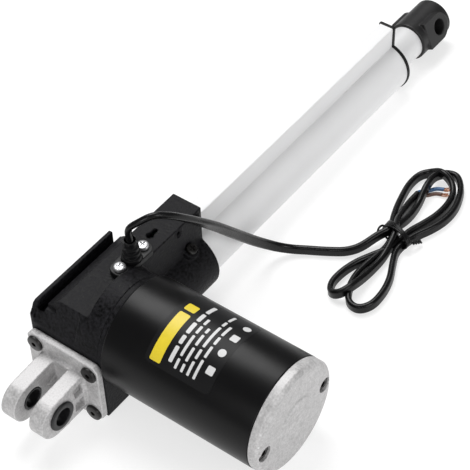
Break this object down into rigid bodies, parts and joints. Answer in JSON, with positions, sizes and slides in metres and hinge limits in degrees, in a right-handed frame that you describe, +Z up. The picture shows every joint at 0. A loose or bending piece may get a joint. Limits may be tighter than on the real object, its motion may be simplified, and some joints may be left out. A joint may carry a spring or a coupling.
{
  "type": "linear actuator",
  "caption": "Electric linear actuator: worm-geared motor set square to a steel rod in an aluminium tube, clevis at the rear, cross-drilled rod end, tied two-core lead.",
  "frame": {"origin": "bottom centre of the actuator without its lead, as it lies on a table", "axes": "+X along the spindle from the rear clevis to the rod end (1.5 degrees nose down), motor towards -Y, +Z up off the table"},
  "size_m": [0.3894, 0.1524, 0.0974],
  "materials": {
    "casting_black": "satin",
    "can_black": "satin",
    "cast_alloy": "matte",
    "tube_anodised": "satin",
    "rod_steel": "satin",
    "plain_steel": "satin",
    "zinc_screw": "satin",
    "black_screw": "satin",
    "bush_black": "satin",
    "black_plastic": "matte",
    "white_nylon": "matte",
    "bronze": "satin",
    "ferrite": "matte",
    "laminations": "matte",
    "copper": "satin",
    "carbon": "matte",
    "board_green": "satin",
    "card_brown": "matte",
    "cord_black": "satin",
    "core_blue": "satin",
    "core_brown": "satin"
  },
  "bodies": {
    "housing": {"rear_clevis": "cast_alloy", "clevis_bush_left": "bush_black", "clevis_bush_right": "bush_black", "clevis_screw_1": "black_screw", "clevis_screw_2": "black_screw", "clevis_screw_3": "black_screw", "clevis_screw_4": "black_screw", "gear_housing": "casting_black", "motor_flange": "casting_black", "rear_bearing_carrier": "cast_alloy", "socket_screw_left": "black_screw", "socket_screw_right": "black_screw", "outer_tube": "tube_anodised", "end_cap": "black_plastic", "rod_guide": "bronze", "wiper_seal": "black_plastic", "bearing_rear": "plain_steel", "bearing_front": "plain_steel", "motor_can": "can_black", "motor_end_cap": "cast_alloy", "motor_bolt_1": "black_screw", "motor_bolt_2": "black_screw", "magnet_upper": "ferrite", "magnet_lower": "ferrite", "brush_card": "card_brown", "brush_upper": "carbon", "brush_lower": "carbon", "rotor_bearing_front": "plain_steel", "rotor_bearing_end": "bronze", "switch_board": "board_green", "limit_switch_in": "black_plastic", "limit_switch_out": "black_plastic", "gland_plate": "black_plastic", "gland_sleeve": "black_plastic", "gland_screw_1": "zinc_screw", "gland_screw_2": "zinc_screw", "cord": "cord_black", "cord_hank": "cord_black", "cord_tie": "cord_black", "wire_blue": "core_blue", "wire_brown": "core_brown"},
    "rotor": {"rotor_shaft": "plain_steel", "armature": "laminations", "commutator": "copper"},
    "spindle_group": {"spindle": "plain_steel", "worm_wheel": "white_nylon", "spindle_stop": "black_screw"},
    "rod": {"rod_tube": "rod_steel", "drive_nut": "white_nylon", "rod_end": "casting_black"}
  },
  "joints": [
    {"name": "rotor_spin", "type": "hinge", "parent": "housing", "child": "rotor", "pos_m": [-0.12825, 0.04721, 0.04604], "axis": [0, -0.9911, -0.1333], "range_deg": [0, 768000]},
    {"name": "spindle_spin", "type": "hinge", "parent": "housing", "child": "spindle_group", "pos_m": [-0.12342, 0.05016, 0.0241], "axis": [0.9997, 0.0035, -0.0258], "range_deg": [0, 24001]},
    {"name": "rod_slide", "type": "slide", "parent": "housing", "child": "rod", "axis": [0.9997, 0.0035, -0.0258], "range_m": [0, 0.20001]}
  ],
  "couplings": [
    {"joint": "spindle_spin", "follows": "rotor_spin", "ratio": 0.03125},
    {"joint": "rod_slide", "follows": "rotor_spin", "m_per_rad": 0.000014921}
  ]
}
